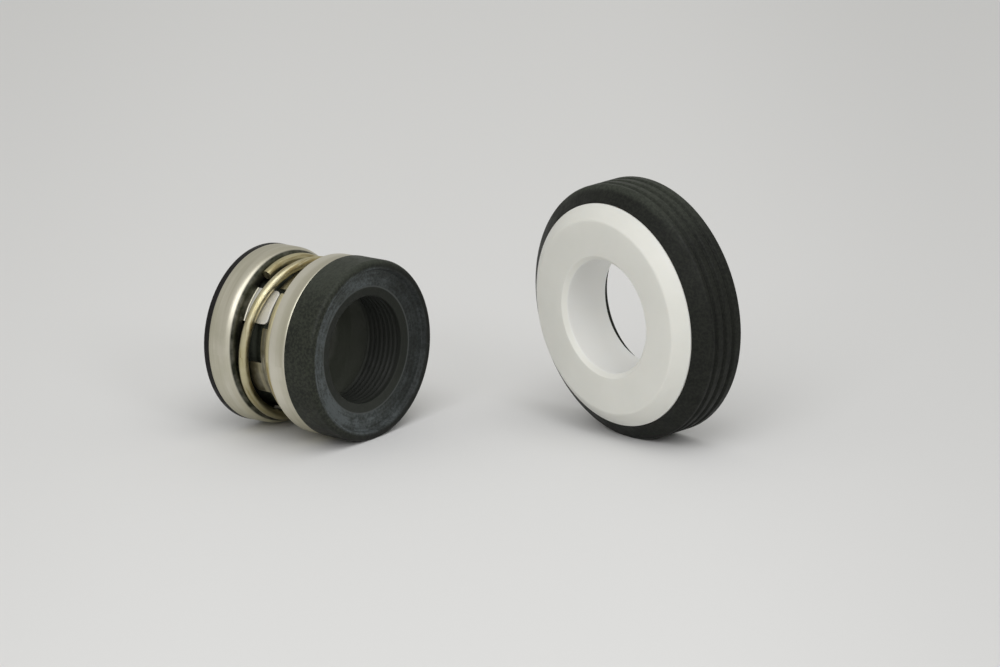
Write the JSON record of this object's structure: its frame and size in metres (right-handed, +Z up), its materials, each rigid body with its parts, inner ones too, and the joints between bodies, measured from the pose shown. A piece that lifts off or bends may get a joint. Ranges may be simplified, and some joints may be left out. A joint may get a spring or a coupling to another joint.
{
  "type": "mechanical seal",
  "caption": "Rubber-bellows mechanical seal in two loose halves: a spring-loaded rotating head with a carbon ring, and a ceramic seat ring in a grooved rubber cup.",
  "frame": {"origin": "on the rotating head's shaft axis, in the plane of the drive band's open rim, inside the ribbed shaft bore", "axes": "+X along the head's shaft axis, out through its rubber tail; +Z up, away from the surface on which both halves lie"},
  "size_m": [0.0872, 0.0494, 0.045],
  "materials": {
    "black_rubber": "matte",
    "stainless_sheet": "satin",
    "spring_wire": "satin",
    "carbon": "matte",
    "white_ceramic": "matte"
  },
  "bodies": {
    "tail_and_seat": {"bellows": "black_rubber", "drive_band": "stainless_sheet", "coil_spring": "spring_wire", "seat_ring": "white_ceramic", "seat_cup": "black_rubber"},
    "ring_end": {"primary_ring": "carbon", "retainer_shell": "stainless_sheet"}
  },
  "joints": [
    {"name": "ring_end_slide", "type": "slide", "parent": "tail_and_seat", "child": "ring_end", "axis": [1, 0, 0], "range_m": [0, 0.0022], "stiffness_N_per_m": 3900, "deforming": ["coil_spring", "bellows"]}
  ]
}
